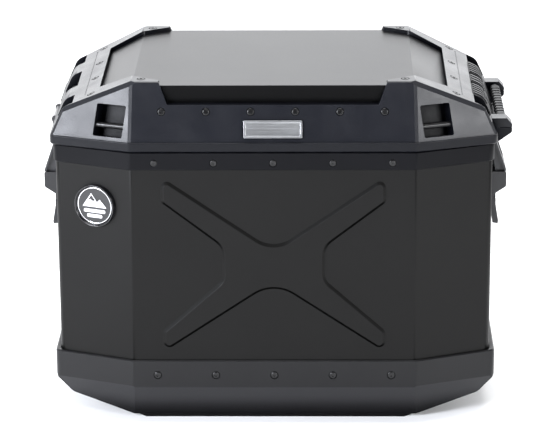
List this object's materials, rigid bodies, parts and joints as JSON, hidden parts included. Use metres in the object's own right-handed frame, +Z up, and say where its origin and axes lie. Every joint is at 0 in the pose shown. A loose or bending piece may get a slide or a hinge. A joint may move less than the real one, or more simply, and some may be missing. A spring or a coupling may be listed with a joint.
{
  "type": "motorcycle side case",
  "caption": "Hard eight-sided side case for a motorcycle, with crossed stiffening swage, lift-off plastic and metal lid, draw latches, folding handle and carrier hooks.",
  "frame": {"origin": "middle of the wear plate's underside, on which the case stands", "axes": "+X towards the end with the carrying handle, +Y towards the motorcycle, +Z up"},
  "size_m": [0.4845, 0.2939, 0.3623],
  "materials": {
    "case_coat": "satin black powder coat",
    "plate_coat": "satin black powder coat",
    "frame_plastic": "fine grained",
    "tray_plastic": "fine grained",
    "lid_plastic": "fine grained",
    "wear_plastic": "grained",
    "black_steel": "black zinc",
    "bright_steel": "turned",
    "latch_metal": "satin black coat",
    "bail_metal": "satin black coat",
    "lock_metal": "polished",
    "rubber": "matte",
    "seal_rubber": "matte",
    "badge_metal": "polished",
    "badge_housing": "gloss",
    "badge_face": "gloss",
    "name_plate_metal": "brushed",
    "bush_plastic": "plain"
  },
  "bodies": {
    "case": {"case_shell": "case_coat", "top_frame": "frame_plastic", "top_frame_rivets": "black_steel", "bottom_tray": "tray_plastic", "tray_screws": "black_steel", "wear_plate": "wear_plastic", "badge_bezel": "badge_housing", "badge_ring": "badge_metal", "badge_face": "badge_face", "badge_emblem": "badge_metal", "carrier_hook_left": "black_steel", "carrier_hook_right": "black_steel", "carrier_hook_plates": "black_steel", "carrier_hook_screws": "bright_steel", "carrier_rests": "rubber", "carrier_bush": "bush_plastic", "latch_plate_left": "latch_metal", "latch_plate_right": "latch_metal", "latch_rivets_left": "black_steel", "latch_rivets_right": "black_steel", "lever_pin_left": "bright_steel", "lever_pin_right": "bright_steel"},
    "lid": {"lid_frame": "lid_plastic", "lid_top_plate": "plate_coat", "lid_seal": "seal_rubber", "lid_front_screws": "black_steel", "lid_side_screws": "black_steel", "horn_screws": "black_steel", "corner_lashing_bars": "black_steel", "shoulder_lashing_bars": "black_steel", "shoulder_pads": "rubber", "name_plate": "name_plate_metal", "handle_brackets": "lid_plastic", "handle_pins": "bright_steel", "lid_catch_left": "bright_steel", "lid_catch_right": "bright_steel", "lid_catch_rivets": "bright_steel"},
    "handle": {"handle_core": "black_steel", "handle_grip": "rubber"},
    "carrier_lock": {"carrier_knob": "frame_plastic", "carrier_shaft": "bright_steel", "carrier_claw": "black_steel"},
    "lever_left": {"latch_lever_left": "latch_metal", "bail_pins_left": "bright_steel"},
    "bail_left": {"latch_bail_left": "bail_metal"},
    "lock_left": {"lock_cylinder_left": "lock_metal"},
    "lever_right": {"latch_lever_right": "latch_metal", "bail_pins_right": "bright_steel"},
    "bail_right": {"latch_bail_right": "bail_metal"},
    "lock_right": {"lock_cylinder_right": "lock_metal"}
  },
  "joints": [
    {"name": "lid_hinge", "type": "hinge", "parent": "case", "child": "lid", "pos_m": [-0.2285, 0, 0.2975], "axis": [0, -1, 0], "range_deg": [0, 100]},
    {"name": "handle_fold", "type": "hinge", "parent": "lid", "child": "handle", "pos_m": [0.2345, 0, 0.2975], "axis": [0, 1, 0], "range_deg": [0, 95]},
    {"name": "carrier_lock_turn", "type": "hinge", "parent": "case", "child": "carrier_lock", "pos_m": [0, 0.13, 0.138], "axis": [0, 1, 0], "range_deg": [0, 90]},
    {"name": "lever_left_swing", "type": "hinge", "parent": "case", "child": "lever_left", "pos_m": [-0.2326, 0, 0.2475], "axis": [0, 1, 0], "range_deg": [0, 85]},
    {"name": "bail_left_swing", "type": "hinge", "parent": "lever_left", "child": "bail_left", "pos_m": [-0.233, 0, 0.232], "axis": [0, 1, 0], "range_deg": [-119, 0]},
    {"name": "lock_left_turn", "type": "hinge", "parent": "lever_left", "child": "lock_left", "pos_m": [-0.236, 0, 0.2305], "axis": [-1, 0, 0], "range_deg": [0, 90]},
    {"name": "lever_right_swing", "type": "hinge", "parent": "case", "child": "lever_right", "pos_m": [0.2326, 0, 0.2475], "axis": [0, -1, 0], "range_deg": [0, 85]},
    {"name": "bail_right_swing", "type": "hinge", "parent": "lever_right", "child": "bail_right", "pos_m": [0.233, 0, 0.232], "axis": [0, -1, 0], "range_deg": [-119, 0]},
    {"name": "lock_right_turn", "type": "hinge", "parent": "lever_right", "child": "lock_right", "pos_m": [0.236, 0, 0.2305], "axis": [1, 0, 0], "range_deg": [0, 90]}
  ],
  "couplings": [
    {"joint": "bail_left_swing", "follows": "lever_left_swing", "ratio": -1.4},
    {"joint": "bail_right_swing", "follows": "lever_right_swing", "ratio": -1.4}
  ]
}
